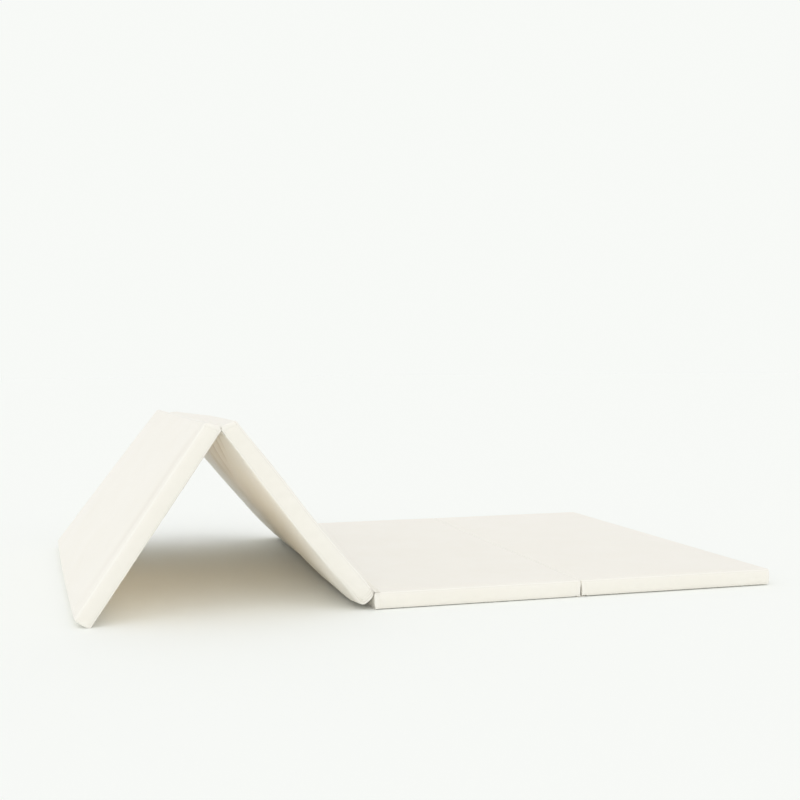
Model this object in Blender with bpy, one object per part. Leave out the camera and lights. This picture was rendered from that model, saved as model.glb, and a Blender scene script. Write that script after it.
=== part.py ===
"""A folding tumbling mat: four padded panels in a sewn cover, joined end to end by three narrow webs.

The two panels on the left are raised into a tent and the two on the right lie flat. Metres, +Z up. X runs
along the mat from the foot of the tent to the flat end and Y across it. The origin lies under the middle.
"""

import math
from collections import namedtuple

import bmesh
import bpy
from mathutils import Vector

# Driving sizes of the mat
PANEL_LENGTH = 0.500
MAT_WIDTH = 1.200
THICKNESS = 0.040

# How it stands: the tilt of panel 2 at the near and far side, where the tent has opened a little wider
TILT_NEAR = math.radians(52.0)
TILT_FAR = math.radians(49.1)
FOOT_PRESS = 0.004
FOOT_BOW = 0.005

# Form of one padded panel
EDGE_RADIUS = 0.006
TOP_CROWN = 0.003
UNDER_CROWN = 0.002
CROWN_RUN = 0.120
END_RUN = 0.040

# The webs that join the panels, each lying in a shallow shelf so that it ends flush with the cover
WEB_THICKNESS = 0.0015
WEB_REACH = 0.0115
WEB_SIDE_INSET = 0.004
SHELF_LENGTH = 0.012
SHELF_RAMP = 0.002
GAP = 0.0003
SHELF_DEPTH = WEB_THICKNESS + GAP
WEB_STATIONS = 9

# Where the sides of the cover stand in or out: height above the underside, then the distance outwards
SEAM_HEIGHT = EDGE_RADIUS
GROOVE_HEIGHT = EDGE_RADIUS + 0.003
SIDE_PROFILE = (
    (SEAM_HEIGHT, 0.0010),
    (GROOVE_HEIGHT, -0.0004),
    (THICKNESS / 2, 0.0008),
    (THICKNESS - GROOVE_HEIGHT, -0.0004),
    (THICKNESS - SEAM_HEIGHT, 0.0010),
)

# How far each kind of panel end stands out: share of the thickness, then the distance outwards. At the ridge
# the soft ends are squeezed together. In the valley the leaning panel's end is tucked in and bulges below its
# web, and the flat panel's end is nearly straight. In the flat fold the ends part towards the floor.
END_SHAPES = {
    "free": ((0.0, 0.0), (1.0, 0.0)),
    "ridge": ((0.0, 0.0), (0.15, 0.0075), (0.30, 0.0070), (0.75, 0.0010), (1.0, 0.0)),
    "tucked": ((0.0, 0.0050), (0.50, 0.0060), (0.75, 0.0050), (0.90, 0.0020), (1.0, 0.0)),
    "valley": ((0.0, -0.0010), (0.50, 0.0005), (0.85, 0.0015), (1.0, 0.0)),
    "flat": ((0.0, -0.0025), (0.60, -0.0020), (0.85, 0.0), (1.0, -0.0005)),
}

PanelRow = namedtuple("PanelRow", "name left_end right_end under_crown foot_bow")
PANELS = {
    1: PanelRow("panel_1", "free", "ridge", UNDER_CROWN, FOOT_BOW),
    2: PanelRow("panel_2", "ridge", "tucked", UNDER_CROWN, 0.0),
    3: PanelRow("panel_3", "valley", "flat", 0.0, 0.0),
    4: PanelRow("panel_4", "flat", "free", 0.0, 0.0),
}

# Each fold joins a panel to the next one, on the underside or on the top of the cover
FoldRow = namedtuple("FoldRow", "name left_panel on_top")
FOLDS = (
    FoldRow("fold_web_1_2", 1, False),
    FoldRow("fold_web_2_3", 2, True),
    FoldRow("fold_web_3_4", 3, False),
)

COVER_COLOUR = (0.896, 0.871, 0.799, 1.0)
COVER_ROUGHNESS = 0.5

# A panel's place in one section across the mat: the corner at its left end and underside, and two directions
Frame = namedtuple("Frame", "corner along out")


def section(across):
    """The frame of each panel in the X-Z plane at this distance across the mat, with fold 2-3 at X = 0."""
    tilt_2 = TILT_NEAR + (TILT_FAR - TILT_NEAR) * across / MAT_WIDTH
    along_2 = Vector((math.cos(tilt_2), -math.sin(tilt_2)))
    out_2 = Vector((math.sin(tilt_2), math.cos(tilt_2)))
    ridge = Vector((0, THICKNESS)) - PANEL_LENGTH * along_2 - THICKNESS * out_2
    tilt_1 = math.asin((ridge.y + FOOT_PRESS) / PANEL_LENGTH)
    along_1 = Vector((math.cos(tilt_1), math.sin(tilt_1)))
    out_1 = Vector((-math.sin(tilt_1), math.cos(tilt_1)))
    flat_along = Vector((1, 0))
    flat_out = Vector((0, 1))
    return {
        1: Frame(ridge - PANEL_LENGTH * along_1, along_1, out_1),
        2: Frame(ridge, along_2, out_2),
        3: Frame(Vector((0, 0)), flat_along, flat_out),
        4: Frame(Vector((PANEL_LENGTH, 0)), flat_along, flat_out),
    }


def in_section(frame, along, height):
    """The section point this far along a panel and this high above its underside."""
    return frame.corner + frame.along * along + frame.out * height


def fold_line(fold, frames):
    """Where a fold lies in a section, and the direction straight across it, from left to right."""
    height = THICKNESS if fold.on_top else 0.0
    left = frames[fold.left_panel]
    right = frames[fold.left_panel + 1]
    return in_section(left, PANEL_LENGTH, height), (left.along + right.along).normalized()


def read_off(table, place):
    """The value that a table of (place, value) rows gives here, on straight lines between its rows."""
    if place <= table[0][0]:
        return table[0][1]
    for (start, first), (end, second) in zip(table, table[1:]):
        if place <= end:
            return first + (second - first) * (place - start) / (end - start)
    return table[-1][1]


def falling(distance, run):
    """1 at an edge, falling evenly to 0 at this run from it."""
    return max(0.0, 1.0 - distance / run)


def swell(place, length):
    """How much of the crown has risen at this place: none on a shelf, all of it a crown's run inside."""
    inside = min(place, length - place) - SHELF_LENGTH - SHELF_RAMP
    return 1.0 - min(1.0, falling(inside, CROWN_RUN)) ** 2


def divided_box(size, cuts):
    """A box from the origin to size whose faces are divided at the cuts along X, Y and Z."""
    mesh = bmesh.new()
    bmesh.ops.create_cube(mesh, size=1.0)
    for vert in mesh.verts:
        vert.co = Vector((c + 0.5) * side for c, side in zip(vert.co, size))
    for axis, places in enumerate(cuts):
        normal = Vector((0, 0, 0))
        normal[axis] = 1
        for place in places:
            geometry = mesh.verts[:] + mesh.edges[:] + mesh.faces[:]
            bmesh.ops.bisect_plane(mesh, geom=geometry, plane_co=normal * place, plane_no=normal)
    return mesh


def edge_cuts(length, inner):
    """Cuts that round both ends of a side evenly, with the inner ones given from one end and mirrored."""
    half_turn = EDGE_RADIUS * (1 - math.tan(math.radians(22.5)))
    from_end = [half_turn, EDGE_RADIUS] + list(inner)
    return sorted(set(from_end + [length - place for place in from_end]))


def soft_point(grid, size, row):
    """Turns a point of the divided box into one of the padded panel, still flat: along, across and height."""
    core = Vector(min(max(c, EDGE_RADIUS), side - EDGE_RADIUS) for c, side in zip(grid, size))
    reach = grid - core
    point = core + reach.normalized() * EDGE_RADIUS
    sideways = Vector((reach.x, reach.y, 0))
    on_underside = grid.z < GAP
    on_top = grid.z > THICKNESS - GAP
    if sideways.length > GAP and not on_underside and not on_top:
        point += sideways.normalized() * read_off(SIDE_PROFILE, grid.z)

    share = grid.z / THICKNESS
    bow = row.foot_bow * (1 - (2 * grid.y / MAT_WIDTH - 1) ** 2)
    point.x -= read_off(END_SHAPES[row.left_end], share) * falling(grid.x, END_RUN)
    point.x -= bow * falling(grid.x, CROWN_RUN)
    point.x += read_off(END_SHAPES[row.right_end], share) * falling(PANEL_LENGTH - grid.x, END_RUN)

    risen = swell(grid.x, PANEL_LENGTH) * swell(grid.y, MAT_WIDTH)
    if on_top:
        point.z += TOP_CROWN * risen
    if on_underside:
        point.z -= row.under_crown * risen
    return point


def cut_shelf(point, grid, from_end, on_top):
    """Lowers the face next to a fold by the thickness of the web that lies there."""
    at_face = grid.z > THICKNESS - GAP if on_top else grid.z < GAP
    if at_face and from_end < SHELF_LENGTH + GAP:
        point.z += -SHELF_DEPTH if on_top else SHELF_DEPTH


def keep_off_fold(point, line, normal, side):
    """Moves a section point back to its own side of a fold's middle plane, half a gap clear of it."""
    beyond = GAP / 2 - side * (point - line).dot(normal)
    return point + side * normal * max(0.0, beyond)


def panel_mesh(number):
    """One padded panel, folded into its place."""
    row = PANELS[number]
    size = Vector((PANEL_LENGTH, MAT_WIDTH, THICKNESS))
    shelf_cuts = (SHELF_LENGTH, SHELF_LENGTH + SHELF_RAMP)
    cuts = (
        edge_cuts(PANEL_LENGTH, shelf_cuts + (CROWN_RUN / 2, PANEL_LENGTH / 2)),
        edge_cuts(MAT_WIDTH, (CROWN_RUN / 2, MAT_WIDTH / 6, MAT_WIDTH / 3, MAT_WIDTH / 2)),
        edge_cuts(THICKNESS, (GROOVE_HEIGHT, THICKNESS * 0.35, THICKNESS / 2)),
    )
    mesh = divided_box(size, cuts)
    for vert in mesh.verts:
        grid = vert.co.copy()
        point = soft_point(grid, size, row)
        for fold in FOLDS:
            if fold.left_panel == number:
                cut_shelf(point, grid, PANEL_LENGTH - grid.x, fold.on_top)
            if fold.left_panel == number - 1:
                cut_shelf(point, grid, grid.x, fold.on_top)
        frames = section(point.y)
        placed = in_section(frames[number], point.x, point.z)
        for fold in FOLDS:
            if number in (fold.left_panel, fold.left_panel + 1):
                line, normal = fold_line(fold, frames)
                side = -1 if fold.left_panel == number else 1
                placed = keep_off_fold(placed, line, normal, side)
        vert.co = Vector((placed.x, point.y, max(placed.y, 0.0)))
    return mesh


def web_section(fold, across):
    """The outline of a web in one section: its outer side along both panels, then its inner side back."""
    frames = section(across)
    left = frames[fold.left_panel]
    right = frames[fold.left_panel + 1]
    height = THICKNESS if fold.on_top else 0.0
    into = -1 if fold.on_top else 1
    line, _ = fold_line(fold, frames)
    left_in = left.out * into
    right_in = right.out * into
    bend = (left_in + right_in) / (1 + left_in.dot(right_in))
    left_end = in_section(left, PANEL_LENGTH - WEB_REACH, height)
    right_end = in_section(right, WEB_REACH, height)
    outline = (
        left_end,
        line,
        right_end,
        right_end + right_in * WEB_THICKNESS,
        line + bend * WEB_THICKNESS,
        left_end + left_in * WEB_THICKNESS,
    )
    return [Vector((point.x, across, point.y)) for point in outline]


def web_mesh(fold):
    """A thin web swept across the mat through its sections."""
    mesh = bmesh.new()
    run = MAT_WIDTH - 2 * WEB_SIDE_INSET
    loops = []
    for station in range(WEB_STATIONS):
        across = WEB_SIDE_INSET + run * station / (WEB_STATIONS - 1)
        loops.append([mesh.verts.new(point) for point in web_section(fold, across)])
    for first, second in zip(loops, loops[1:]):
        for corner in range(len(first)):
            following = (corner + 1) % len(first)
            mesh.faces.new((first[corner], first[following], second[following], second[corner]))
    mesh.faces.new(reversed(loops[0]))
    mesh.faces.new(loops[-1])
    bmesh.ops.recalc_face_normals(mesh, faces=mesh.faces)
    return mesh


def cover_material(name):
    """Smooth ivory artificial leather."""
    material = bpy.data.materials.new(name)
    material.use_nodes = True
    shader = material.node_tree.nodes["Principled BSDF"]
    shader.inputs["Base Color"].default_value = COVER_COLOUR
    shader.inputs["Roughness"].default_value = COVER_ROUGHNESS
    shader.inputs["Metallic"].default_value = 0.0
    return material


def add_object(name, mesh, parent, collection):
    """Makes an object of this mesh under the parent, with the cover's finish."""
    data = bpy.data.meshes.new(name)
    mesh.to_mesh(data)
    mesh.free()
    data.shade_smooth()
    data.set_sharp_from_angle(angle=math.radians(40))
    data.materials.append(cover_material(name + "_cover"))
    piece = bpy.data.objects.new(name, data)
    piece.parent = parent
    collection.objects.link(piece)
    return piece


def bottom_middle(pieces):
    """The point under the middle of the box that holds all the pieces."""
    points = [vert.co for piece in pieces for vert in piece.data.vertices]
    low = Vector(min(point[axis] for point in points) for axis in range(3))
    high = Vector(max(point[axis] for point in points) for axis in range(3))
    return Vector(((low.x + high.x) / 2, (low.y + high.y) / 2, low.z))


def main():
    for existing in list(bpy.data.objects):
        bpy.data.objects.remove(existing)
    collection = bpy.data.collections.new("tumbling_mat")
    bpy.context.scene.collection.children.link(collection)
    base = bpy.data.objects.new("mat_base", None)
    collection.objects.link(base)
    pieces = [add_object(row.name, panel_mesh(number), base, collection) for number, row in PANELS.items()]
    pieces += [add_object(fold.name, web_mesh(fold), base, collection) for fold in FOLDS]
    base.location = -bottom_middle(pieces)


main()
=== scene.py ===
# %% [markdown]
# # A folding tumbling mat
#
# A mat of this kind is four slabs of foam, each in a sewn cover of artificial leather, joined end to end by
# narrow webs. Here two panels stand up as a tent and two lie flat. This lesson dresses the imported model:
# each plain solid is replaced by a panel with a swollen cover, sewn edges and soft creases.
#
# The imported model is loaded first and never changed, because it says where everything is.

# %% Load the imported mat
import math
from collections import namedtuple

import bpy
import numpy as np
from mathutils import Matrix, Vector


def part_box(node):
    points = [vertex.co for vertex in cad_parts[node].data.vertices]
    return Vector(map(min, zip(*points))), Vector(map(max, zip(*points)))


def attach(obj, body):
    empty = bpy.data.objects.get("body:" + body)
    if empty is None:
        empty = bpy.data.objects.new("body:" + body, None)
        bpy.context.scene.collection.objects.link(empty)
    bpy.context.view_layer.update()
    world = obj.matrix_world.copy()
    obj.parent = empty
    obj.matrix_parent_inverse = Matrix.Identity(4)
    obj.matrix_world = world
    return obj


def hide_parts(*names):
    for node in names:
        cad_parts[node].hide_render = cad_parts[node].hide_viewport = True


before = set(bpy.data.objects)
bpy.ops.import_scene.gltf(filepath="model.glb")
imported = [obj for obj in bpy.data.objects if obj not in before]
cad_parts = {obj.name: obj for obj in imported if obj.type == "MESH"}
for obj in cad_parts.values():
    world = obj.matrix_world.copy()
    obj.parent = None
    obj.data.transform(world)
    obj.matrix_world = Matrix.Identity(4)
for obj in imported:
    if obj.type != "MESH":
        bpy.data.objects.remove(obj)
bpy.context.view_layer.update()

print("nodes:", sorted(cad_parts))

# %% [markdown]
# ## Sizes
#
# A mat is cut from a few numbers: how long, wide and thick a panel is, and how steeply the raised ones
# lean. The solids were made with the same ones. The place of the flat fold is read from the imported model,
# so the dressed mat can't drift away from it.

# %% Sizes of the mat, in metres
PANEL_LENGTH = 0.500
MAT_WIDTH = 1.200
THICKNESS = 0.040
PANEL_SIZE = np.array((PANEL_LENGTH, MAT_WIDTH, THICKNESS))
EDGE_RADIUS = 0.006
TILT_NEAR = math.radians(52.0)
TILT_FAR = math.radians(49.1)
FOOT_PRESS = 0.004
FOOT_BOW = 0.005
GAP = 0.0003

WEB_THICKNESS = 0.0015
WEB_REACH = 0.0115
WEB_SIDE_INSET = 0.004
SHELF_LENGTH = 0.012
SHELF_RAMP = 0.002
SHELF_DEPTH = WEB_THICKNESS + GAP

PanelRow = namedtuple("PanelRow", "node piece left_end right_end under_crown foot_bow lip_crush lift")
PANELS = {
    1: PanelRow("panel_1", "mat_panel_1", "free", "ridge", 0.002, FOOT_BOW, 0.0, 0.0),
    2: PanelRow("panel_2", "mat_panel_2", "ridge", "tucked", 0.002, 0.0, 0.010, 0.0),
    3: PanelRow("panel_3", "mat_panel_3", "valley", "flat", 0.0, 0.0, 0.0, 0.0012),
    4: PanelRow("panel_4", "mat_panel_4", "flat", "free", 0.0, 0.0, 0.0, 0.0022),
}

FoldRow = namedtuple("FoldRow", "node piece left_panel on_top")
FOLDS = (
    FoldRow("fold_web_1_2", "mat_web_1_2", 1, False),
    FoldRow("fold_web_2_3", "mat_web_2_3", 2, True),
    FoldRow("fold_web_3_4", "mat_web_3_4", 3, False),
)

flat_web_low, flat_web_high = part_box("fold_web_3_4")
flat_web_middle = (flat_web_low + flat_web_high) / 2
MAT_START = np.array([flat_web_middle.x - PANEL_LENGTH, flat_web_middle.y - MAT_WIDTH / 2, flat_web_low.z])
print("fold between tent and flat half, at its near underside:", MAT_START.round(4))

# %% [markdown]
# ## Folding
#
# A real mat's panels are sewn flat and folded afterwards, and the same order works well here. Every panel
# is shaped lying flat, where distances are easy: along the mat, across it, and up from the underside. One
# function then carries each point to its folded place. The tent stands a little wider open at its far side,
# so the lean changes evenly across the mat.

# %% Where a point of a flat panel goes when the mat is folded
def section(across):
    """Each panel's corner, its direction along and its direction out, at these distances across the mat."""
    tilt_2 = TILT_NEAR + (TILT_FAR - TILT_NEAR) * across / MAT_WIDTH
    along_2 = np.column_stack((np.cos(tilt_2), -np.sin(tilt_2)))
    out_2 = np.column_stack((np.sin(tilt_2), np.cos(tilt_2)))
    ridge = np.array([0.0, THICKNESS]) - PANEL_LENGTH * along_2 - THICKNESS * out_2
    tilt_1 = np.arcsin((ridge[:, 1] + FOOT_PRESS) / PANEL_LENGTH)
    along_1 = np.column_stack((np.cos(tilt_1), np.sin(tilt_1)))
    out_1 = np.column_stack((-np.sin(tilt_1), np.cos(tilt_1)))
    along_flat = np.tile([1.0, 0.0], (len(across), 1))
    out_flat = np.tile([0.0, 1.0], (len(across), 1))
    return {
        1: (ridge - PANEL_LENGTH * along_1, along_1, out_1),
        2: (ridge, along_2, out_2),
        3: (0.0 * along_flat, along_flat, out_flat),
        4: (PANEL_LENGTH * along_flat, along_flat, out_flat),
    }


def fold_middle(fold, frames):
    """Where a fold lies in each section, and the direction straight across it."""
    corner, along, out = frames[fold.left_panel]
    height = THICKNESS if fold.on_top else 0.0
    across_it = along + frames[fold.left_panel + 1][1]
    across_it /= np.linalg.norm(across_it, axis=1)[:, None]
    return corner + along * PANEL_LENGTH + out * height, across_it


def fold_into_place(number, flat):
    """Carries flat points to the folded mat, on their own side of each fold and never below the floor."""
    frames = section(flat[:, 1])
    corner, along, out = frames[number]
    placed = corner + along * flat[:, 0:1] + out * flat[:, 2:3]
    for fold in FOLDS:
        if number in (fold.left_panel, fold.left_panel + 1):
            line, normal = fold_middle(fold, frames)
            side = -1 if fold.left_panel == number else 1
            beyond = GAP / 2 - side * ((placed - line) * normal).sum(axis=1)
            placed = placed + side * normal * np.maximum(0.0, beyond)[:, None]
    return np.column_stack((placed[:, 0], flat[:, 1], np.maximum(placed[:, 1], 0.0))) + MAT_START


ridge_place = fold_into_place(2, np.array([[0.0, 0.0, 0.0]]))[0]
print("near end of the ridge, inner side:", ridge_place.round(4))

# %% [markdown]
# ## The cover, laid out flat
#
# The cover of one panel is a top, an underside and a boxed strip round the sides. It is made as one closed
# skin of four-sided faces, in rows that lie close together near the edges, where the seams are. A skin in
# even rows swells and subdivides cleanly, and its fine seam rows survive.
#
# Each point also keeps the place it had in the flat box. Later steps read there how far a point lies from a
# seam.

# %% Rows of the cover
EDGE_ROWS = (0.0, 0.0012, 0.0024, 0.0034, 0.0044, 0.0055, 0.0072, 0.0095)
FOLD_END_ROWS = EDGE_ROWS + (0.0111, 0.0120, 0.0140, 0.0165, 0.0210)
SIDE_END_ROWS = EDGE_ROWS + (0.0130, 0.0180)
ROW_SPACING_ALONG = 0.0100
ROW_SPACING_ACROSS = 0.0135
ROW_SPACING_UP = 0.0050


def spread_rows(length, end_rows, spacing):
    """Rows from one side to the other: the end rows at both ends, mirrored, and even rows between them."""
    first, last = end_rows[-1], length - end_rows[-1]
    steps = math.ceil((last - first) / spacing)
    middle = np.linspace(first, last, steps + 1)[1:-1]
    start = np.array(end_rows)
    return np.concatenate((start, middle, length - start[::-1]))


def wall_faces(numbers, outward):
    """The four-sided faces of one side of the box, from the numbers of its points in rows."""
    corners = (numbers[:-1, :-1], numbers[1:, :-1], numbers[1:, 1:], numbers[:-1, 1:])
    quads = np.stack(corners, axis=-1).reshape(-1, 4)
    return quads if outward else quads[:, ::-1]


def cover_box():
    """Points and faces of one cover as a plain box of rows, lying flat."""
    rows = (
        spread_rows(PANEL_LENGTH, FOLD_END_ROWS, ROW_SPACING_ALONG),
        spread_rows(MAT_WIDTH, SIDE_END_ROWS, ROW_SPACING_ACROSS),
        spread_rows(THICKNESS, EDGE_ROWS, ROW_SPACING_UP),
    )
    on_skin = np.ones([len(row) for row in rows], bool)
    on_skin[1:-1, 1:-1, 1:-1] = False
    numbers = (np.cumsum(on_skin) - 1).reshape(on_skin.shape)
    points = np.stack(np.meshgrid(*rows, indexing="ij"), axis=-1)[on_skin]
    walls = []
    for axis in range(3):
        for end in (-1, 0):
            walls.append(wall_faces(numbers.take(end, axis), outward=(end == 0) == (axis == 1)))
    return points, np.concatenate(walls)


box_points, box_faces = cover_box()
print("one cover:", len(box_points), "points,", len(box_faces), "faces")

# %% [markdown]
# ## The ends of a panel
#
# Foam never has sharp edges, because the cover pulls them round. The ends also differ. At the ridge two
# soft ends are squeezed together and stand out at the underside. In the valley the end of the leaning panel
# is tucked in and bulges below its web. In the flat fold the ends part towards the floor. Where two ends
# press on each other their corners stay fuller than free ones.
#
# Each end has a pair of rows: shares of the height, and how far the end stands out there, or how full its
# corner is, from 0 for round to 1 for sharp.

# %% Shapes of the ends
END_SHAPES = {
    "free": ((0.0, 1.0), (0.0, 0.0)),
    "ridge": ((0.0, 0.15, 0.30, 0.75, 1.0), (0.0, 0.0075, 0.0070, 0.0010, 0.0)),
    "valley": ((0.0, 0.50, 0.85, 1.0), (-0.0010, 0.0005, 0.0015, 0.0)),
    "tucked": ((0.0, 0.50, 0.75, 0.90, 1.0), (0.0068, 0.0064, 0.0050, 0.0020, 0.0)),
    "flat": ((0.0, 0.15, 0.45, 0.70, 0.85, 1.0), (-0.0012, -0.0022, -0.0027, -0.0012, 0.0, -0.0003)),
}
FULL_CORNERS = {
    "free": ((0.0, 1.0), (0.45, 0.45)),
    "ridge": ((0.0, 0.45, 0.75, 1.0), (0.80, 0.80, 0.0, 0.0)),
    "valley": ((0.0, 0.80, 1.0), (0.80, 0.60, 0.0)),
    "tucked": ((0.0, 1.0), (0.0, 0.0)),
    "flat": ((0.0, 0.70, 1.0), (0.70, 0.60, 0.30)),
}


def falling(distance, run):
    """1 at an edge, falling evenly to 0 at this run from it."""
    return np.clip(1.0 - distance / run, 0.0, 1.0)


def rising(place, start, end):
    """0 before the start and 1 after the end, with a soft turn at both."""
    share = np.clip((place - start) / (end - start), 0.0, 1.0)
    return share * share * (3.0 - 2.0 * share)


def from_edges(place, length):
    """Distance to the nearer one of two opposite edges."""
    return np.minimum(place, length - place)


print("the tucked end stands out from its underside up by, m:", END_SHAPES["tucked"][1])

# %% [markdown]
# ## Where use has changed the foam
#
# The leaning panel sags a little between its folds. Its foam has settled in the cover, so its underside is
# fuller, most of all at the near half and just above the floor. Its lower end and the side edges next to it
# are rounder than the others, and the lip of the ridge is crushed towards its far corner.
#
# Each kind of hanging has a depth, and the stretches of the panel over which it grows and ends.

# %% Round, sag, fill and crush
CRUSHED_CORNER = 0.012
CRUSHED_SIDE = 0.008
CRUSHED_SIDE_RUN = 0.200

Hang = namedtuple("Hang", "depth grows ends")
SAG = Hang(0.0028, (0.12, 0.30), (0.38, 0.46))
FULLER = Hang(0.0045, (0.02, 0.16), (0.484, 0.512))
BELLY = Hang(0.0065, (0.33, 0.46), (0.482, 0.506))
BELLY_SIDE_RUN = 0.06
FAR_HALF = (0.30, 0.75)
LESS_AT_FAR_HALF = 0.8

LIP_RUN = 0.060
LIP_START = 0.35
LIP_SPAN = 0.60
LIP_BACK = 0.79
LIP_DOWN = 0.62


def round_underside(form, axis, edge, inward, radius):
    """Rounds one underside edge. Inward is 1 where the panel begins along this axis and -1 where it ends."""
    reach_in = (form[:, axis] - edge) * inward - radius
    reach_up = form[:, 2] - radius
    distance = np.hypot(reach_in, reach_up)
    outside = (reach_in < 0) & (reach_up < 0) & (distance > radius)
    share = np.where(outside, radius / np.maximum(distance, 1e-9), 1.0)
    form[:, axis] = edge + inward * (radius + reach_in * share)
    form[:, 2] = radius + reach_up * share


def hanging(hang, along):
    """How deep something hangs at these places along the panel."""
    return hang.depth * rising(along, *hang.grows) * (1 - rising(along, *hang.ends))


def let_hang(form, box):
    """Sags the leaning panel between its folds and lets foam fill its underside."""
    along, across = box[:, 0], box[:, 1]
    below = 1 - box[:, 2] / THICKNESS
    near_half = 1 - LESS_AT_FAR_HALF * rising(across, *FAR_HALF)
    inside = rising(from_edges(across, MAT_WIDTH), 0.0, BELLY_SIDE_RUN)
    form[:, 2] -= hanging(SAG, along)
    form[:, 2] -= hanging(FULLER, along) * near_half * below ** 1.5
    form[:, 2] -= hanging(BELLY, along) * inside * near_half * below ** 3


def crush_lip(form, box, depth):
    """Crushes the upper corner of a ridge end back and down, more and more towards the far side."""
    towards_far = np.clip((box[:, 1] / MAT_WIDTH - LIP_START) / LIP_SPAN, 0, 1)
    crushed = depth * towards_far * falling(box[:, 0], LIP_RUN) ** 1.4 * (box[:, 2] / THICKNESS) ** 2
    form[:, 0] += LIP_BACK * crushed
    form[:, 2] -= LIP_DOWN * crushed


print("belly just above the floor, mm:", round(1000 * float(hanging(BELLY, 0.47)), 1))

# %% [markdown]
# ## A soft panel
#
# All of that comes together while the panel still lies flat. Every point within a few millimetres of an
# edge is drawn onto a quarter circle, and the ends get their shapes. The faces rise to a low crown away
# from the folds. The foot bows a little where it takes the weight, and the lower edges of the flat half
# curl up by a millimetre or two.

# %% Lay out the four covers
END_RUN = 0.040
CROWN_RUN = 0.120
STARTING_CROWN = 0.0012
LIFT_RUN = 0.016


def swell(place, length):
    """How much of the crown has risen: none beside a fold, all of it a crown's run further in."""
    inside = from_edges(place, length) - SHELF_LENGTH - SHELF_RAMP
    return 1.0 - falling(inside, CROWN_RUN) ** 2


def soft_form(number, box):
    """Turns places in the flat box into points of the padded panel, still flat."""
    row = PANELS[number]
    along, across, height = box.T
    from_right = PANEL_LENGTH - along
    share = height / THICKNESS
    core = np.clip(box, EDGE_RADIUS, PANEL_SIZE - EDGE_RADIUS)
    reach = box - core
    form = core + reach / np.linalg.norm(reach, axis=1)[:, None] * EDGE_RADIUS
    for kind, from_end in ((row.left_end, along), (row.right_end, from_right)):
        fuller = np.interp(share, *FULL_CORNERS[kind]) * falling(from_end, 2 * EDGE_RADIUS)
        form += (box - form) * fuller[:, None]
    if row.right_end == "tucked":
        round_underside(form, 0, PANEL_LENGTH, -1, CRUSHED_CORNER)
        rounder = EDGE_RADIUS + CRUSHED_SIDE * falling(from_right, CRUSHED_SIDE_RUN)
        round_underside(form, 1, 0.0, 1, rounder)
        round_underside(form, 1, MAT_WIDTH, -1, rounder)
        let_hang(form, box)
    crush_lip(form, box, row.lip_crush)
    from_free = from_edges(across, MAT_WIDTH)
    if row.right_end == "free":
        from_free = np.minimum(from_free, from_right)
    form[:, 2] += row.lift * falling(from_free, LIFT_RUN) ** 1.5 * (1 - share)
    bow = row.foot_bow * (1 - (2 * across / MAT_WIDTH - 1) ** 2)
    form[:, 0] -= np.interp(share, *END_SHAPES[row.left_end]) * falling(along, END_RUN)
    form[:, 0] -= bow * falling(along, CROWN_RUN)
    form[:, 0] += np.interp(share, *END_SHAPES[row.right_end]) * falling(from_right, END_RUN)
    risen = swell(along, PANEL_LENGTH) * swell(across, MAT_WIDTH)
    form[:, 2] += STARTING_CROWN * risen * (height > THICKNESS - GAP)
    form[:, 2] -= row.under_crown * risen * (height < GAP)
    return form


def add_object(name, data):
    """Puts a mesh, a lamp or a camera into the scene."""
    made = bpy.data.objects.new(name, data)
    bpy.context.scene.collection.objects.link(made)
    return made


def add_mesh(name, points, faces):
    """Puts a new mesh of these points and faces into the scene."""
    data = bpy.data.meshes.new(name)
    data.from_pydata(points, [], faces)
    return add_object(name, data)


def lay_cover(number):
    """The cover of one panel, flat, with each point's place in the box kept on it."""
    cover = add_mesh(PANELS[number].piece, soft_form(number, box_points).tolist(), box_faces.tolist())
    kept = cover.data.attributes.new("box_place", "FLOAT_VECTOR", "POINT")
    kept.data.foreach_set("vector", box_points.ravel())
    return cover


covers = {number: lay_cover(number) for number in PANELS}
print("covers laid out:", [cover.name for cover in covers.values()])

# %% [markdown]
# ## Filling the cover
#
# The foam pushes the cover out and the seams hold it back. Blender's cloth does the same with pressure
# inside a skin whose seam rows are pinned. The cover is cut a touch larger than the foam, which lets it
# ripple softly. Foam is firm, so the swelling is capped at a few millimetres. The result is written into
# the mesh and the cloth is taken off again.

# %% Swell each cover with a short cloth simulation
SWELL_FRAMES = 20
SWELL_CAP = 0.0024
SEAM_PIN = 0.0085


def read_points(values, name):
    """The coordinates that a mesh or an attribute holds, as rows of three."""
    found = np.empty(len(values) * 3)
    values.foreach_get(name, found)
    return found.reshape(-1, 3)


def seam_points(number):
    """The points that the seams hold: the rows at every edge, and both faces next to a fold."""
    from_sides = np.sort(np.minimum(box_points, PANEL_SIZE - box_points), axis=1)
    held = from_sides[:, 1] < SEAM_PIN
    row = PANELS[number]
    if row.left_end != "free":
        held |= box_points[:, 0] < SHELF_LENGTH + SHELF_RAMP
    if row.right_end != "free":
        held |= box_points[:, 0] > PANEL_LENGTH - SHELF_LENGTH - SHELF_RAMP
    return np.flatnonzero(held).tolist()


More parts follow.
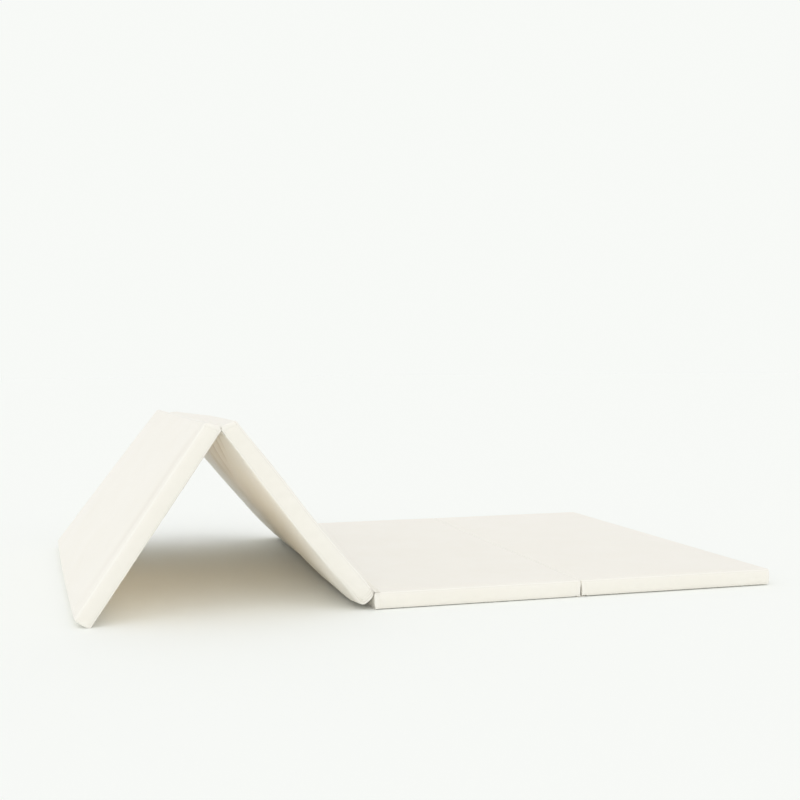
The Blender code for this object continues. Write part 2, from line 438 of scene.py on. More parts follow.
def fill_with_foam(number, cover):
    """Swells one cover under pressure and writes the capped result into its mesh."""
    scene = bpy.context.scene
    pins = cover.vertex_groups.new(name="seams")
    pins.add(seam_points(number), 1.0, "REPLACE")
    before = read_points(cover.data.vertices, "co")
    cloth = cover.modifiers.new("foam", "CLOTH")
    cloth.point_cache.frame_start = 1
    cloth.point_cache.frame_end = SWELL_FRAMES
    cloth.collision_settings.use_collision = False
    settings = cloth.settings
    settings.quality = 5
    settings.mass = 0.4
    settings.tension_stiffness = 30
    settings.compression_stiffness = 30
    settings.shear_stiffness = 15
    settings.bending_stiffness = 2.0
    settings.air_damping = 4
    settings.shrink_min = -0.004
    settings.use_pressure = True
    settings.uniform_pressure_force = 4
    settings.vertex_group_mass = pins.name
    settings.effector_weights.gravity = 0
    for step in range(1, SWELL_FRAMES + 1):
        scene.frame_set(step)
    graph = bpy.context.evaluated_depsgraph_get()
    swollen = cover.evaluated_get(graph)
    after = read_points(swollen.to_mesh().vertices, "co")
    swollen.to_mesh_clear()
    cover.modifiers.remove(cloth)
    cover.vertex_groups.clear()
    scene.frame_set(1)
    moved = after - before
    distance = np.linalg.norm(moved, axis=1)
    capped = SWELL_CAP * np.tanh(distance / SWELL_CAP)
    moved *= (capped / np.maximum(distance, 1e-9))[:, None]
    cover.data.vertices.foreach_set("co", (before + moved).ravel())
    cover.data.update()
    print(cover.name, "swelled by up to", round(1000 * float(distance.max()), 2), "mm before the cap")


for number, cover in covers.items():
    fill_with_foam(number, cover)

# %% [markdown]
# ## Twice as fine
#
# One subdivision halves every face. It rounds what the simulation left and gives the rows that seams and
# creases need.

# %% Subdivide each cover once
def refine(cover):
    """Applies one subdivision to a cover."""
    rounding = cover.modifiers.new("rounding", "SUBSURF")
    rounding.levels = 1
    rounding.render_levels = 1
    graph = bpy.context.evaluated_depsgraph_get()
    finer = bpy.data.meshes.new_from_object(cover.evaluated_get(graph))
    cover.modifiers.remove(rounding)
    coarse = cover.data
    cover.data = finer
    bpy.data.meshes.remove(coarse)
    finer.name = cover.name


for cover in covers.values():
    refine(cover)
    print(cover.name, "now has", len(cover.data.polygons), "faces")

# %% [markdown]
# ## Seams
#
# Where top and side strip are sewn together, the allowance inside pushes up a fine bead, with a narrow
# groove on each side of it. Short strips close the boxed side next to each fold, and their seams run
# straight up.
#
# All of this is low relief: each point is moved along the direction its surface faces, by an amount that
# comes from its distance to a seam.

# %% Relief of the seams
ON_SURFACE = 1e-6
BEAD_WIDTH = 0.0044
BEAD_HEIGHT = 0.0003
GROOVE_DEPTH = 0.0005
GROOVE_WIDTH = 0.0008
STRIP_SEAM = 0.0106
STRIP_SEAM_DEPTH = 0.0006
STRIP_SEAM_WIDTH = 0.0008
SIDE_PUFF = 0.0009
SOFT_SEAM = 0.25
SEAM_SOFTENS = (0.15, 0.40)


def edge_seam(distance):
    """Relief across a sewn edge: a round bead at the edge itself and a groove beside it."""
    bead = BEAD_HEIGHT * np.clip(1 - (distance / BEAD_WIDTH) ** 2, 0, 1)
    return bead - GROOVE_DEPTH * np.exp(-(((distance - BEAD_WIDTH) / GROOVE_WIDTH) ** 2))


def line_groove(distance, depth, width):
    """Relief across one narrow line."""
    return -depth * np.exp(-((distance / width) ** 2))


def on_face(height, on_top):
    """Whether a place lies on the top face, or else on the underside."""
    return height > THICKNESS - ON_SURFACE if on_top else height < ON_SURFACE


def strip_middle(height):
    """1 halfway up the side strip, falling to 0 beside its seams."""
    return np.clip(1 - ((height - THICKNESS / 2) / (THICKNESS / 2 - BEAD_WIDTH)) ** 2, 0, 1)


def has_web(left_panel, on_top):
    """Whether a web covers this face at the fold to the right of a panel."""
    return any(fold.left_panel == left_panel and fold.on_top == on_top for fold in FOLDS)


def seam_strength(number, box):
    """How sharply side seams show: softly along the top of panel 1 and the lower underside of panel 2."""
    along, across, height = box.T
    beside = from_edges(across, MAT_WIDTH) < from_edges(along, PANEL_LENGTH)
    on_top = height > THICKNESS / 2
    if number == 1:
        return np.where(beside & on_top, SOFT_SEAM, 1.0)
    if number == 2:
        return np.where(beside & ~on_top, np.interp(along, SEAM_SOFTENS, (1.0, SOFT_SEAM)), 1.0)
    return np.ones(len(box))


def seam_relief(number, box):
    """The seams of one panel, for places in its box. Where a web lies over a seam there is none."""
    row = PANELS[number]
    along, across, height = box.T
    from_right = PANEL_LENGTH - along
    from_side = from_edges(across, MAT_WIDTH)
    from_face = from_edges(height, THICKNESS)
    relief = np.zeros(len(box))
    seen = seam_strength(number, box)
    for on_top in (True, False):
        nearest = from_side
        if not has_web(number - 1, on_top):
            nearest = np.minimum(nearest, along)
        if not has_web(number, on_top):
            nearest = np.minimum(nearest, from_right)
        relief = np.where(on_face(height, on_top), edge_seam(nearest) * seen, relief)
    puff = SIDE_PUFF * strip_middle(height)
    relief = np.where(from_face > ON_SURFACE, edge_seam(from_face) * seen + puff, relief)
    on_side = (from_side < ON_SURFACE) & (from_face > BEAD_WIDTH)
    for kind, from_end in ((row.left_end, along), (row.right_end, from_right)):
        if kind != "free":
            relief += on_side * line_groove(from_end - STRIP_SEAM, STRIP_SEAM_DEPTH, STRIP_SEAM_WIDTH)
    return relief


seam_samples = np.array([[0.25, across, THICKNESS] for across in (BEAD_WIDTH, 0.0, 0.3)])
print("relief at groove, bead and middle, mm:", (1000 * seam_relief(3, seam_samples)).round(2))

# %% [markdown]
# ## Creases and wrinkles
#
# Cover with too much room folds on itself. The underside of the leaning panel is drawn into long diagonal
# creases where the ridge squeezes it, and a few faint ones cross other faces near the folds. Each pushes up
# a low rim beside it. The side strips have short wrinkles, and thin lines follow the ends that a fold
# squeezes.

# %% Relief of creases and wrinkles
Crease = namedtuple("Crease", "panel on_top start end depth width")
CREASES = (
    Crease(2, False, (0.004, 0.120), (0.070, 0.214), 0.0046, 0.013),
    Crease(2, False, (0.004, 0.200), (0.112, 0.384), 0.0056, 0.016),
    Crease(2, False, (0.004, 0.356), (0.190, 0.640), 0.0056, 0.018),
    Crease(2, False, (0.004, 0.578), (0.200, 0.770), 0.0056, 0.018),
    Crease(2, False, (0.004, 0.830), (0.130, 0.960), 0.0040, 0.015),
    Crease(1, False, (0.484, 0.930), (0.390, 1.060), 0.0016, 0.010),
    Crease(1, False, (0.484, 0.170), (0.420, 0.260), 0.0014, 0.009),
    Crease(1, True, (0.520, 0.040), (0.020, 0.060), 0.0022, 0.038),
    Crease(1, True, (0.470, 0.240), (0.380, 0.350), 0.0008, 0.012),
    Crease(2, True, (0.470, 0.160), (0.400, 0.060), 0.0008, 0.010),
    Crease(3, True, (0.030, 0.100), (0.100, 0.030), 0.0007, 0.010),
    Crease(3, True, (0.030, 1.080), (0.110, 1.165), 0.0008, 0.010),
)
CREASE_REACH = 0.010
CREASE_ARCH = (0.12, 0.86)
RIM_PLACE = 1.9
RIM_HEIGHT = 0.3

SideCrease = namedtuple("SideCrease", "panel start end depth width")
SIDE_CREASES = (
    SideCrease(3, (0.359, 0.0250), (0.421, 0.0210), 0.0007, 0.0020),
    SideCrease(2, (0.440, 0.0095), (0.478, 0.0185), 0.0008, 0.0022),
    SideCrease(2, (0.395, 0.0075), (0.462, 0.0100), 0.0007, 0.0020),
    SideCrease(1, (0.425, 0.0280), (0.472, 0.0190), 0.0006, 0.0020),
    SideCrease(4, (0.415, 0.0130), (0.470, 0.0190), 0.0006, 0.0022),
)
SIDE_ARCH = (0.08, 0.84)

PINCH_LINES = (0.0042, 0.0088, 0.0145)
PINCH_WIDTH = 0.0011
PINCH_RUN = 0.040
DEEP_PINCH = 0.0013
SHALLOW_PINCH = 0.25 * DEEP_PINCH


def arch(share, first, span):
    """A part of a sine arch, which lets a line grow and fade along its run."""
    return np.sin(math.pi * (first + span * share))


def beside_crease(crease, place):
    """How far along a crease each place lies, from 0 to 1, and how far away from it."""
    start, end = np.array(crease.start), np.array(crease.end)
    run = end - start
    share = np.clip(((place - start) @ run) / (run @ run), 0, 1)
    return share, np.linalg.norm(place - start - share[:, None] * run, axis=1)


def crease_relief(number, box):
    """The long creases of one panel, each fading out at both ends."""
    relief = np.zeros(len(box))
    for crease in CREASES:
        if crease.panel == number:
            share, distance = beside_crease(crease, box[:, :2])
            fade = np.sqrt(np.clip(arch(share, *CREASE_ARCH), 0, 1))
            fade *= falling(THICKNESS - box[:, 2] if crease.on_top else box[:, 2], CREASE_REACH)
            from_rim = distance - RIM_PLACE * crease.width
            relief += fade * line_groove(distance, crease.depth, crease.width)
            relief += fade * line_groove(from_rim, -RIM_HEIGHT * crease.depth, crease.width)
    return relief


def side_crease_relief(number, box):
    """Short wrinkles in the side strips, by their place along the panel and above its underside."""
    on_side = from_edges(box[:, 1], MAT_WIDTH) < ON_SURFACE
    relief = np.zeros(len(box))
    for crease in SIDE_CREASES:
        if crease.panel == number:
            share, distance = beside_crease(crease, box[:, [0, 2]])
            relief += on_side * arch(share, *SIDE_ARCH) * line_groove(distance, crease.depth, crease.width)
    return relief


def pinch_relief(number, box):
    """Thin wrinkles in the side strip, following the end that a fold squeezes."""
    row = PANELS[number]
    along, across, height = box.T
    on_side = from_edges(across, MAT_WIDTH) < ON_SURFACE
    relief = np.zeros(len(box))
    for kind, from_end in ((row.left_end, along), (row.right_end, PANEL_LENGTH - along)):
        if kind in ("tucked", "valley", "ridge"):
            to_end = np.maximum(CRUSHED_CORNER - from_end, 0)
            to_underside = np.maximum(CRUSHED_CORNER - height, 0)
            in_corner = CRUSHED_CORNER - np.hypot(to_end, to_underside)
            inside = np.where(height < CRUSHED_CORNER, in_corner, from_end)
            depth = DEEP_PINCH if kind == "tucked" else SHALLOW_PINCH
            fade = on_side * falling(from_end, PINCH_RUN)
            for line in PINCH_LINES:
                relief += fade * line_groove(inside - line, depth, PINCH_WIDTH)
    return relief


print("creases:", len(CREASES), "and short wrinkles in the side strips:", len(SIDE_CREASES))

# %% [markdown]
# ## Small unevenness
#
# No face of a filled cover is quite even. It rises and dips slowly, puckers a little beside the seams and
# ripples in the side strips, on every panel in another way. Beside a fold it is pressed down by as much as
# the web that is sewn on there needs.

# %% Slow rises, puckers, ripples and the shelves of the webs
SLOW_WAVES = 9
SLOW_LENGTHS = (0.11, 0.42)
SLOW_HEIGHT = 0.00080
SLOW_RIM = 0.012
SLOW_RUN = 0.050
TOP_SHIFT = 0.7
PUCKER_HEIGHT = 0.00028
PUCKER_LENGTH = 0.034
PUCKER_SWAY = 0.21
PUCKER_PATCH = 0.29
PUCKER_START = 0.004
PUCKER_FULL = 0.009
PUCKER_FADE = 0.013
RIPPLE_HEIGHT = 0.00040
RIPPLE_LENGTH = 0.071
RIPPLE_SWAY = 0.33


def turned(run, length):
    """How far a wave of this length has turned after this run, in radians."""
    return run * 2 * math.pi / length


def slow_rises(chance, box, upward):
    """Slow rises and dips of the foam, for all of one panel."""
    slow = np.zeros(len(box))
    for _ in range(SLOW_WAVES):
        length = chance.uniform(*SLOW_LENGTHS)
        turn = chance.uniform(0, math.pi)
        shift = chance.uniform(0, 2 * math.pi)
        wave = turned(box[:, 0] * math.cos(turn) + box[:, 1] * math.sin(turn), length)
        slow += np.sin(wave + shift + TOP_SHIFT * upward) * length
    return slow


def uneven_relief(number, box):
    """Slow rises, puckers beside the seams and ripples in the sides, different on every panel."""
    chance = np.random.default_rng(40 + number)
    along, across, height = box.T
    upward = np.where(height > THICKNESS / 2, 1.0, -1.0)
    from_end = from_edges(along, PANEL_LENGTH)
    from_side = from_edges(across, MAT_WIDTH)
    away_from_seams = 1 - falling(np.minimum(from_end, from_side) - SLOW_RIM, SLOW_RUN)
    faces = slow_rises(chance, box, upward) * (SLOW_HEIGHT * away_from_seams)
    puckers = np.zeros(len(box))
    for run, distance in ((across, from_end), (along, from_side)):
        beat = chance.uniform(0, 2 * math.pi)
        sway = 2.6 * np.sin(turned(run, PUCKER_SWAY) + beat)
        ripple = np.sin(turned(run, PUCKER_LENGTH) + sway + upward)
        patch = 0.5 + 0.5 * np.sin(turned(run, PUCKER_PATCH) + 2 * beat + upward)
        near_seam = np.clip((distance - BEAD_WIDTH) / PUCKER_START, 0, 1)
        near_seam *= np.exp(-np.maximum(distance - PUCKER_FULL, 0) / PUCKER_FADE)
        puckers += PUCKER_HEIGHT * ripple * patch * near_seam
    strip_run = np.where(from_side < ON_SURFACE, along, across)
    sway = 2 * np.sin(turned(strip_run, RIPPLE_SWAY) + number)
    sides = RIPPLE_HEIGHT * np.sin(turned(strip_run, RIPPLE_LENGTH) + sway) * strip_middle(height)
    return np.where(from_edges(height, THICKNESS) < ON_SURFACE, faces + puckers, sides)


def lower_for_webs(number, box, points):
    """Presses the faces down beside each fold where a web is sewn on."""
    for fold in FOLDS:
        if number in (fold.left_panel, fold.left_panel + 1):
            from_end = PANEL_LENGTH - box[:, 0] if fold.left_panel == number else box[:, 0]
            shelf = (SHELF_LENGTH + GAP, SHELF_LENGTH + SHELF_RAMP)
            depth = np.interp(from_end, shelf, (SHELF_DEPTH, 0.0)) * (-1 if fold.on_top else 1)
            points[:, 2] += np.where(on_face(box[:, 2], fold.on_top), depth, 0.0)


print("unevenness at those three places, mm:", (1000 * uneven_relief(3, seam_samples)).round(2))

# %% [markdown]
# ## The finished panels
#
# Each cover gets its relief and is folded into place. Three masks go with it for the finish: one is strong
# in the grooves, for dust and painted shade, one in the creases, for painted shade where light hardly
# reaches, and one on the beads, which hands and floors rub shiny and which gets a painted highlight. The
# finished panel stands for its plain solid and rides on the same body.

DEEP_CREASE = 0.0056
PINCH_SHADE = 0.35
RUB_AND_HIGHLIGHT_WIDTH = 0.0085
RUB_AND_HIGHLIGHT_STRENGTH = 1.4


def weights_attribute(data, name, values):
    """Keeps one number per point on a mesh, for a material to read."""
    kept = data.attributes.new(name, "FLOAT", "POINT")
    kept.data.foreach_set("value", np.clip(values, 0, 1))


def finish_panel(number, cover):
    """Adds the relief to one flat cover, folds it into place, hangs it on the root body and hides its solid.
    """
    data = cover.data
    box = read_points(data.attributes["box_place"].data, "vector")
    points = read_points(data.vertices, "co")
    facing = read_points(data.vertex_normals, "vector")
    seams = seam_relief(number, box)
    pinches = pinch_relief(number, box)
    creases = crease_relief(number, box)
    relief = seams + pinches + creases + side_crease_relief(number, box) + uneven_relief(number, box)
    points += facing * relief[:, None]
    lower_for_webs(number, box, points)
    data.vertices.foreach_set("co", fold_into_place(number, points).ravel())
    # Grooves and pinches are darkened for dust and painted shade.
    weights_attribute(data, "groove_dust_and_shade", -(seams + pinches) / GROOVE_DEPTH)
    # The creases and pinches get a painted shade, darkest in the deepest creases.
    shade = (np.minimum(creases, 0) / DEEP_CREASE) ** 2 + PINCH_SHADE * (pinches / DEEP_PINCH) ** 2
    weights_attribute(data, "crease_shade", shade)
    # The beads are rubbed smoother and get a painted highlight.
    from_nearest_edge = np.sort(np.minimum(box, PANEL_SIZE - box), axis=1)[:, 1]
    weights_attribute(data, "edge_rub_and_highlight", RUB_AND_HIGHLIGHT_STRENGTH * falling(from_nearest_edge, RUB_AND_HIGHLIGHT_WIDTH))
    data.attributes.remove(data.attributes["box_place"])
    data.shade_smooth()
    data.update()
    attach(cover, "root")
    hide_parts(PANELS[number].node)


for number, cover in covers.items():
    finish_panel(number, cover)
    low = read_points(cover.data.vertices, "co").min(axis=0)
    print(cover.name, "folded, lowest point", low.round(4))

# %% [markdown]
# ## Fold webs
#
# A web is a strip of the same leather, sewn flat over both panels. It is so thin that it needs no filling:
# its outline in one section is swept across the mat, with a small curve where two panels meet at an angle.

# %% Make the three webs
WEB_STATIONS = 160
WEB_BEND = 0.0035
WEB_HALF = np.array([0.08, 0.18, 0.30, 0.44, 0.58, 0.72, 0.86, 1.0])
WEB_PLACES = np.concatenate((-WEB_HALF[::-1], [0.0], WEB_HALF)) * WEB_REACH
SHARP_CORNER = math.radians(50)


def web_skin(fold, places, across, depth):
    """Points of a web at these places along its section, this deep below its outer side."""
    frames = section(across)
    line, _ = fold_middle(fold, frames)
    _, left_along, left_out = frames[fold.left_panel]
    _, right_along, right_out = frames[fold.left_panel + 1]
    into = -1 if fold.on_top else 1
    rows = []
    for place in places:
        bend = min(max((place + WEB_BEND) / (2 * WEB_BEND), 0.0), 1.0)
        if abs(place) < WEB_BEND:
            spot = -WEB_BEND * left_along * (1 - bend) ** 2 + WEB_BEND * right_along * bend ** 2
        else:
            spot = place * (left_along if place < 0 else right_along)
        inward = left_out * (1 - bend) + right_out * bend
        inward = into * inward / np.linalg.norm(inward, axis=1)[:, None]
        placed = line + spot + inward * depth
        rows.append(np.column_stack((placed[:, 0], across, placed[:, 1])) + MAT_START)
    return np.stack(rows, axis=1)


def grid_faces(rows, columns, first=0):
    """Faces between points in rows, each row a closed ring of columns, with a face at both ends."""
    faces = []
    for row in range(rows - 1):
        for column in range(columns):
            following = (column + 1) % columns
            here = first + row * columns
            above = here + columns
            faces.append((here + column, above + column, above + following, here + following))
    last = first + (rows - 1) * columns
    faces.append(tuple(range(first, first + columns)))
    faces.append(tuple(range(last, last + columns))[::-1])
    return faces


def make_web(fold):
    """One web as a closed thin strip across the mat."""
    across = np.linspace(WEB_SIDE_INSET, MAT_WIDTH - WEB_SIDE_INSET, WEB_STATIONS)
    outer = web_skin(fold, WEB_PLACES, across, 0.0)
    inner = web_skin(fold, WEB_PLACES[::-1], across, WEB_THICKNESS)
    rings = np.concatenate((outer, inner), axis=1)
    web = add_mesh(fold.piece, rings.reshape(-1, 3).tolist(), grid_faces(WEB_STATIONS, rings.shape[1]))
    web.data.shade_smooth()
    web.data.set_sharp_from_angle(angle=SHARP_CORNER)
    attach(web, "root")
    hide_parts(fold.node)
    return web


webs = {fold.piece: make_web(fold) for fold in FOLDS}
print("webs:", list(webs))

# %% [markdown]
# ## Stitches
#
# Each web is held by two rows of stitches, and a short row crosses it at both sides of the mat, where it
# would tear first. A stitch is a grain of thread three millimetres long that sinks in at both ends. The web
# under the flat half lies on the floor, which presses its stitches flush, so only the two others get them.

# %% Sew the webs
STITCH_LENGTH = 0.0031
STITCH_PITCH = 0.0043
STITCH_ROW = 0.0088
ROW_END_INSET = 0.004
CROSS_ROW_INSET = 0.0026
CROSS_ROW_PLACES = (-0.0072, -0.0036, 0.0036, 0.0072)
THREAD_RADIUS = 0.00036
THREAD_STANDS = 0.55
THREAD_SINKS = 3.4
STITCH_RINGS = ((-0.5, 0.25), (-0.32, 0.85), (0.0, 1.0), (0.32, 0.85), (0.5, 0.25))
STITCH_SIDES = 6


def stitch_rings(middle, run, up):
    """Points of one stitch: rings of thread round a line that sinks in at both ends."""
    sideways = np.cross(up, run)
    rings = []
    for share, width in STITCH_RINGS:
        stands = THREAD_RADIUS * (THREAD_STANDS - THREAD_SINKS * share ** 2)
        centre = middle + run * STITCH_LENGTH * share + up * stands
        for side in range(STITCH_SIDES):
            turn = 2 * math.pi * side / STITCH_SIDES
            offset = sideways * math.cos(turn) + up * math.sin(turn)
            rings.append(centre + offset * THREAD_RADIUS * width)
    return rings


def in_space(direction):
    """A direction in the section, as one in space."""
    return np.array([direction[0], 0.0, direction[1]])


def stitch_spots(fold):
    """The middle, run and facing of every stitch of one web."""
    row_inset = WEB_SIDE_INSET + ROW_END_INSET
    across = np.arange(row_inset, MAT_WIDTH - row_inset, STITCH_PITCH)
    facing = 1 if fold.on_top else -1
    spots = []
    for place, panel in ((-STITCH_ROW, fold.left_panel), (STITCH_ROW, fold.left_panel + 1)):
        skin = web_skin(fold, [place], across, 0.0)[:, 0]
        out = section(across)[panel][2] * facing
        for middle, up in zip(skin, out):
            spots.append((middle, np.array([0.0, 1.0, 0.0]), in_space(up)))
    cross_inset = WEB_SIDE_INSET + CROSS_ROW_INSET
    for end in (cross_inset, MAT_WIDTH - cross_inset):
        for place in CROSS_ROW_PLACES:
            panel = fold.left_panel if place < 0 else fold.left_panel + 1
            _, along, out = section(np.array([end]))[panel]
            middle = web_skin(fold, [place], np.array([end]), 0.0)[0, 0]
            spots.append((middle, in_space(along[0]), in_space(out[0] * facing)))
    return spots


def sew(fold):
    """All the stitches of one web as one piece."""
    points, faces = [], []
    for middle, run, up in stitch_spots(fold):
        faces += grid_faces(len(STITCH_RINGS), STITCH_SIDES, len(points))
        points += stitch_rings(middle, run, up)
    stitches = add_mesh(fold.piece + "_stitches", np.array(points).tolist(), faces)
    stitches.data.shade_smooth()
    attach(stitches, "root")
    return stitches


stitch_rows = [sew(fold) for fold in FOLDS if fold.node != "fold_web_3_4"]
print("stitches:", [(row.name, len(row.data.polygons)) for row in stitch_rows])

# %% [markdown]
# ## Leather grain
#
# Artificial leather is a smooth film pressed over a fabric, with a fine pebbled grain. Its colour is nearly
# even, with faint warmer patches, and its gloss changes a little from place to place. One node group makes
# all of that from the place on the object, and each leather uses its own values.

# %% A node group for the grain
def fill_sockets(node, table):
    """Gives each socket in a table its number, its colour or the output of another node."""
    for name, value in table.items():
        if isinstance(value, bpy.types.NodeSocket):
            node.id_data.links.new(value, node.inputs[name])
        elif isinstance(value, tuple):
            node.inputs[name].default_value = value + (1.0,)
        else:
            node.inputs[name].default_value = value


def add_node(tree, kind, table=None, **settings):
    """Adds a node, with its properties by name and its sockets from a table."""
    node = tree.nodes.new(kind)
    for name, value in settings.items():
        setattr(node, name, value)
    fill_sockets(node, table or {})
    return node


def math_node(tree, operation, *terms, clamp=False):
    """Adds a math node. Each term is a number or another node's output."""
    table = dict(enumerate(terms))
    return add_node(tree, "ShaderNodeMath", table, operation=operation, use_clamp=clamp).outputs[0]


def build_leather_grain():
    """Grain height, colour tone and gloss of smooth artificial leather, from the place on the object."""
    tree = bpy.data.node_groups.new("leather_grain", "ShaderNodeTree")
    for name, value in (("Pebbles Per Metre", 900.0), ("Patches Per Metre", 6.0), ("Film Waves", 0.3)):
        socket = tree.interface.new_socket(name=name, in_out="INPUT", socket_type="NodeSocketFloat")
        socket.default_value = value
    for name in ("Height", "Tone", "Gloss"):
        tree.interface.new_socket(name=name, in_out="OUTPUT", socket_type="NodeSocketFloat")
    given = add_node(tree, "NodeGroupInput").outputs
    place = add_node(tree, "ShaderNodeTexCoord").outputs["Object"]

    rounded = {"Scale": given["Pebbles Per Metre"], "Smoothness": 0.6, "Randomness": 0.9}
    pebbles = add_node(tree, "ShaderNodeTexVoronoi", rounded, feature="SMOOTH_F1")
    film = add_node(tree, "ShaderNodeTexNoise", {"Scale": 160.0, "Detail": 3.0})
    cloudy = {"Scale": given["Patches Per Metre"], "Detail": 4.0, "Roughness": 0.55}
    patches = add_node(tree, "ShaderNodeTexNoise", cloudy)
    wear = add_node(tree, "ShaderNodeTexNoise", {"Scale": 23.0, "Detail": 5.0})
    for node in (pebbles, film, patches, wear):
        fill_sockets(node, {"Vector": place})

    waves = math_node(tree, "MULTIPLY", film.outputs[0], given["Film Waves"])
    grain = math_node(tree, "SUBTRACT", 1.0, pebbles.outputs["Distance"])
    add_node(tree, "NodeGroupOutput", {
        "Height": math_node(tree, "ADD", grain, waves),
        "Tone": math_node(tree, "MULTIPLY_ADD", patches.outputs[0], 2.4, -0.7, clamp=True),
        "Gloss": math_node(tree, "MULTIPLY_ADD", wear.outputs[0], 2.0, -0.5, clamp=True),
    })
    return tree


leather_grain = build_leather_grain()
print("grain group:", [item.name for item in leather_grain.interface.items_tree])

# %% [markdown]
# ## Finishes
#
# The cover and the webs are the same ivory leather, but a web is sewn double, a little flatter and warmer.
# Dust and painted shade darken the grooves, the creases get a painted brown shade, and the beads are rubbed
# smoother and painted lighter as a highlight. The thread is a matt polyester of much the same colour.

# %% Materials of cover, webs and thread
# Colours the masks paint: a painted highlight on the beads, dust with painted shade in the grooves, painted
# shade in the creases.
PAINTED_HIGHLIGHT_IVORY = (0.935, 0.918, 0.868)
GROOVE_DUST_AND_SHADE = (0.66, 0.61, 0.51)
CREASE_PAINTED_SHADE = (0.47, 0.40, 0.29)
MASKS = (
    ("edge_rub_and_highlight", 0.3, PAINTED_HIGHLIGHT_IVORY),
    ("groove_dust_and_shade", 0.20, GROOVE_DUST_AND_SHADE),
    ("crease_shade", 0.80, CREASE_PAINTED_SHADE),
)
RUB_SMOOTHS = 0.05


def new_finish(name):
    """A new material, its nodes and its main shader."""
    material = bpy.data.materials.new(name)
    material.use_nodes = True
    tree = material.node_tree
    return material, tree, tree.nodes["Principled BSDF"]


def ramp_between(tree, amount, low, high):
    """A colour that goes from low to high with an amount."""
    mix = add_node(tree, "ShaderNodeMix", {"Factor": amount, "A": low, "B": high}, data_type="RGBA")
    return mix.outputs["Result"]


def spread_between(tree, amount, low, high):
    """A number that goes from low to high with an amount."""
    spread = add_node(tree, "ShaderNodeMapRange", {"Value": amount, "To Min": low, "To Max": high})
    return spread.outputs["Result"]


def leather(name, light, warm, pebbles, grain_depth, roughness, masked):
    """Ivory artificial leather. Masked says whether the mesh carries the masks for rub with a painted
    highlight, dust with painted shade, and painted shade in the creases.
    """
    material, tree, shader = new_finish(name)
    grain = add_node(tree, "ShaderNodeGroup", {"Pebbles Per Metre": pebbles}, node_tree=leather_grain)
    colour = ramp_between(tree, grain.outputs["Tone"], light, warm)
    smoothness = spread_between(tree, grain.outputs["Gloss"], *roughness)
    if masked:
        # The masks paint a highlight on the beads, dust and shade in the grooves and shade in the creases.
        for mask, strength, tint in MASKS:
            found = add_node(tree, "ShaderNodeAttribute", attribute_name=mask).outputs["Fac"]
            colour = ramp_between(tree, math_node(tree, "MULTIPLY", found, strength), colour, tint)
            if mask == "edge_rub_and_highlight":
                rubbed = math_node(tree, "MULTIPLY", found, RUB_SMOOTHS)
                smoothness = math_node(tree, "SUBTRACT", smoothness, rubbed)
    pressed = {"Strength": 0.35, "Distance": grain_depth, "Height": grain.outputs["Height"]}
    bump = add_node(tree, "ShaderNodeBump", pressed)
    fill_sockets(shader, {"Base Color": colour, "Roughness": smoothness, "Normal": bump.outputs["Normal"]})
    fill_sockets(shader, {"Specular IOR Level": 0.42, "Sheen Weight": 0.05, "Sheen Roughness": 0.5})
    return material


def thread_finish(name):
    """Matt polyester thread with a fine twist."""
    material, tree, shader = new_finish(name)
    place = add_node(tree, "ShaderNodeTexCoord").outputs["Object"]
    twist = add_node(tree, "ShaderNodeTexNoise", {"Vector": place, "Scale": 2400.0}).outputs[0]
    colour = ramp_between(tree, twist, (0.80, 0.77, 0.68), (0.90, 0.88, 0.81))
    fill_sockets(shader, {"Base Color": colour, "Roughness": spread_between(tree, twist, 0.6, 0.8)})
    return material


cover_leather = leather(
    "cover_leather", light=(0.902, 0.876, 0.804), warm=(0.888, 0.859, 0.780),
    pebbles=850.0, grain_depth=0.00035, roughness=(0.40, 0.52), masked=True,
)
web_leather = leather(
    "web_leather", light=(0.888, 0.859, 0.780), warm=(0.870, 0.838, 0.752),
    pebbles=1100.0, grain_depth=0.00025, roughness=(0.44, 0.56), masked=False,
)
thread = thread_finish("seam_thread")
finishes = ((cover_leather, covers.values()), (web_leather, webs.values()), (thread, stitch_rows))
for finish, pieces in finishes:
    for piece in pieces:
        piece.data.materials.clear()
        piece.data.materials.append(finish)
print("finishes:", [finish.name for finish, _ in finishes])

# %% [markdown]
# ## The floor
#
# The mat stands on an endless white floor, which is one wide disc a hair below it.

# %% Lay the floor
FLOOR_TONE = (0.935, 0.952, 0.926)
FLOOR_RADIUS = 45.0
FLOOR_CORNERS = 96
FLOOR_DROP = 0.0003

turns = [2 * math.pi * step / FLOOR_CORNERS for step in range(FLOOR_CORNERS)]
rim = [(FLOOR_RADIUS * math.cos(turn), FLOOR_RADIUS * math.sin(turn), -FLOOR_DROP) for turn in turns]
wedges = [(0, 1 + step, 1 + (step + 1) % FLOOR_CORNERS) for step in range(FLOOR_CORNERS)]
floor = add_mesh("studio_floor", [(0.0, 0.0, -FLOOR_DROP)] + rim, wedges)
floor_white, _, shader = new_finish("floor_white")
fill_sockets(shader, {"Base Color": FLOOR_TONE, "Roughness": 1.0, "Specular IOR Level": 0.0})
floor.data.materials.append(floor_white)
print("floor:", len(floor.data.polygons), "faces, radius", FLOOR_RADIUS, "m")

# %% [markdown]
# ## Light
#
# Soft light comes from all round. The sky gives most of it, more from low down, as white studio walls do,
# and the camera sees it as white as the floor, so no horizon shows. Two broad suns, one from behind the
# camera and one from the left, draw the shape. A weak warm lamp, itself unseen, faces up from the floor
# under the tent and lifts the shade inside it.

# %% Light the studio
LOW_SKY = 1.0


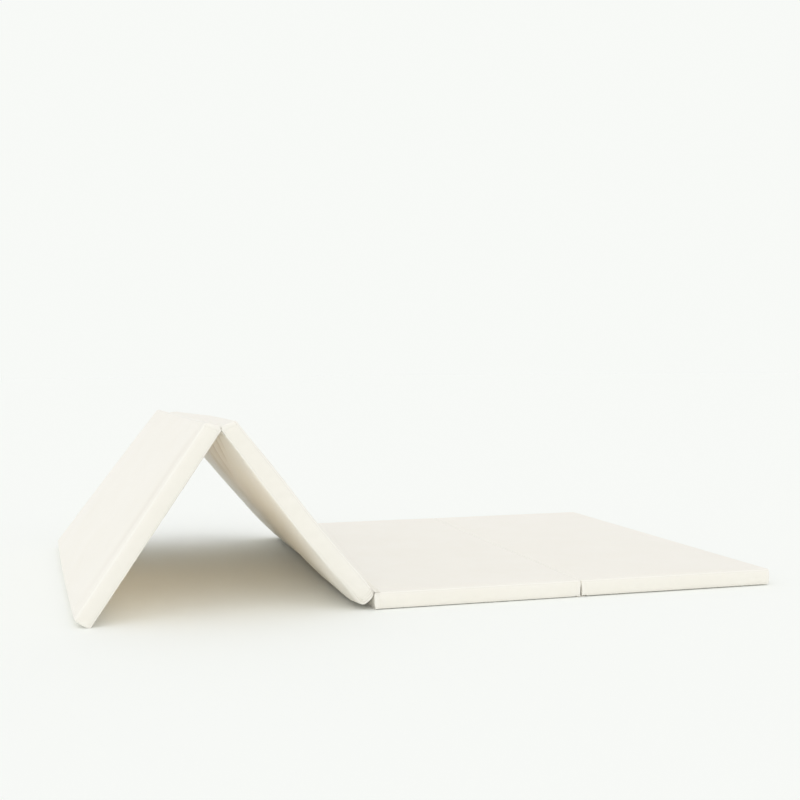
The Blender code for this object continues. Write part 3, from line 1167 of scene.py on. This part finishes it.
def light_sky(overhead, low_down):
    """A sky that gets brighter towards the horizon and shows as the floor's white."""
    world = bpy.data.worlds.new("studio_sky")
    bpy.context.scene.world = world
    world.use_nodes = True
    tree = world.node_tree
    tree.nodes.clear()
    place = add_node(tree, "ShaderNodeTexCoord").outputs["Generated"]
    height = add_node(tree, "ShaderNodeSeparateXYZ", {"Vector": place}).outputs["Z"]
    strength = spread_between(tree, height, low_down, overhead)
    lighting = add_node(tree, "ShaderNodeBackground", {"Color": (1.0, 1.0, 1.0), "Strength": strength})
    seen = add_node(tree, "ShaderNodeBackground", {"Color": FLOOR_TONE})
    camera_ray = add_node(tree, "ShaderNodeLightPath").outputs["Is Camera Ray"]
    shown = {"Fac": camera_ray, 1: lighting.outputs[0], 2: seen.outputs[0]}
    choice = add_node(tree, "ShaderNodeMixShader", shown)
    add_node(tree, "ShaderNodeOutputWorld", {"Surface": choice.outputs[0]})


def broad_sun(name, comes_from, strength, spread):
    """A sun with a wide disc. Returns how much of the floor's light it gives."""
    lamp = bpy.data.lights.new(name, "SUN")
    lamp.energy = strength
    lamp.angle = math.radians(spread)
    sun = add_object(name, lamp)
    sun.rotation_euler = Vector(comes_from).to_track_quat("Z", "Y").to_euler()
    return Vector(comes_from).normalized().z * strength / math.pi


glow_lamp = bpy.data.lights.new("floor_glow", "AREA")
glow_lamp.shape = "RECTANGLE"
glow_lamp.size = 0.21
glow_lamp.size_y = 0.80
glow_lamp.energy = 0.34
glow_lamp.color = (1.0, 0.79, 0.55)
glow = add_object("floor_glow", glow_lamp)
glow.location = (-0.595, -0.20, 0.006)
glow.rotation_euler = (math.pi, 0.0, 0.0)
glow.visible_camera = False
from_suns = broad_sun("front_sun", (-0.30, -1.0, 1.10), 0.50, 70.0)
from_suns += broad_sun("left_sun", (-1.0, -0.1, 1.3), 0.24, 70.0)
high_sky = 1.5 * (1.0 - from_suns) - 0.5 * LOW_SKY
light_sky(high_sky, LOW_SKY)
bpy.context.scene.view_settings.view_transform = "Standard"
bpy.context.scene.view_settings.look = "None"
print("light from the suns:", round(from_suns, 3), "sky overhead:", round(high_sky, 3), "low:", LOW_SKY)

# %% [markdown]
# ## Camera
#
# The camera stands left of the mat's middle, 56 cm above the floor, looks a little to the right and almost
# level, and leans by half a degree. Its place and lens were worked out from the mat's own edges.

# %% Place the camera
CAMERA_PLACE = Vector((-0.8148, -3.2415, 0.5587))
CAMERA_HEADING = math.atan2(0.96462, 0.26365)
CAMERA_PITCH = 0.032
CAMERA_ROLL = -0.0082
SENSOR_WIDTH = 36.0
LENS_LENGTH = 54.89

look = Vector((
    math.cos(CAMERA_HEADING) * math.cos(CAMERA_PITCH),
    math.sin(CAMERA_HEADING) * math.cos(CAMERA_PITCH),
    -math.sin(CAMERA_PITCH),
))
level_right = Vector((math.sin(CAMERA_HEADING), -math.cos(CAMERA_HEADING), 0.0))
level_up = level_right.cross(look)
right = math.cos(CAMERA_ROLL) * level_right + math.sin(CAMERA_ROLL) * level_up
up = math.cos(CAMERA_ROLL) * level_up - math.sin(CAMERA_ROLL) * level_right

lens = bpy.data.cameras.new("photo_camera")
lens.sensor_fit = "HORIZONTAL"
lens.sensor_width = SENSOR_WIDTH
lens.lens = LENS_LENGTH
camera = add_object("photo_camera", lens)
turned_camera = Matrix((right, up, -look)).transposed()
camera.matrix_world = Matrix.Translation(CAMERA_PLACE) @ turned_camera.to_4x4()
bpy.context.scene.camera = camera
print("camera at", [round(value, 3) for value in CAMERA_PLACE], "lens", round(lens.lens, 2))
